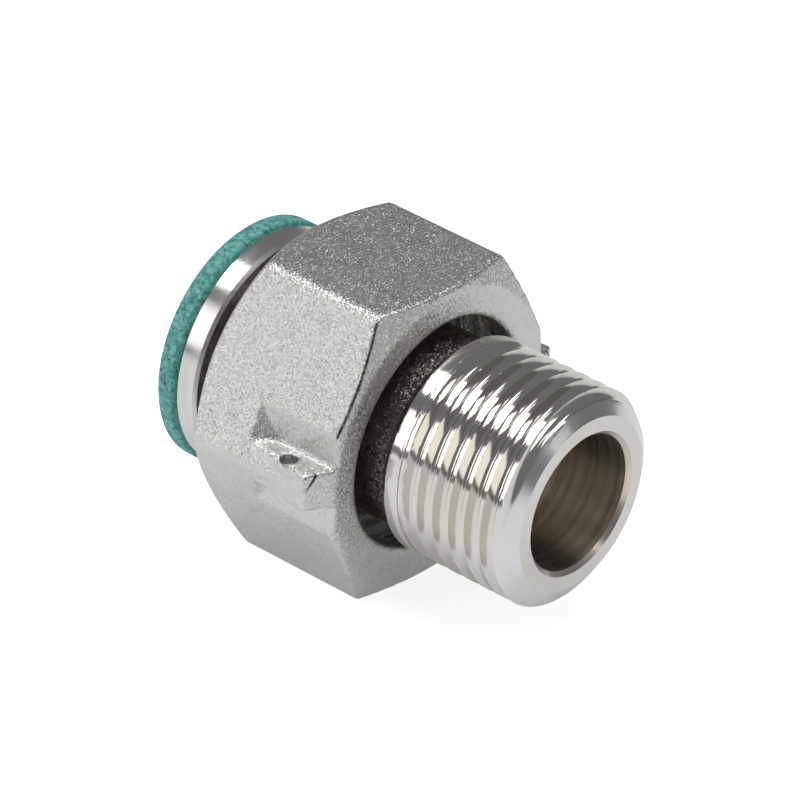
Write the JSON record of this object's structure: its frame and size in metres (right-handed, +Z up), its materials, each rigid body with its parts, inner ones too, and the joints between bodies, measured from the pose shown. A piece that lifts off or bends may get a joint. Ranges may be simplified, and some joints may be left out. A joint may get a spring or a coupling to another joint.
{
  "type": "half union fitting",
  "caption": "Half union: a threaded tailpiece with a collar, its loose hexagon union nut with wire lugs, and a flat ring seal.",
  "frame": {"origin": "on the pipe axis, at the tailpiece's sealing face (the collar's end, under the seal)", "axes": "+X along the pipe axis from the sealing face to the threaded end, +Z up with the nut lying on one flat, +Y to the side through a lug"},
  "size_m": [0.04, 0.0342, 0.0296],
  "materials": {
    "turned_metal": "turned, nickel plated",
    "seal_fibre": "matt pressed fibre",
    "forged_metal": "blasted, nickel plated"
  },
  "bodies": {
    "tailpiece": {"tailpiece": "turned_metal", "flat_seal": "seal_fibre"},
    "union_nut": {"union_nut": "forged_metal"}
  },
  "joints": [
    {"name": "nut_spin", "type": "hinge", "parent": "tailpiece", "child": "union_nut", "pos_m": [0.01325, 0, 0], "axis": [1, 0, 0], "continuous": true}
  ]
}
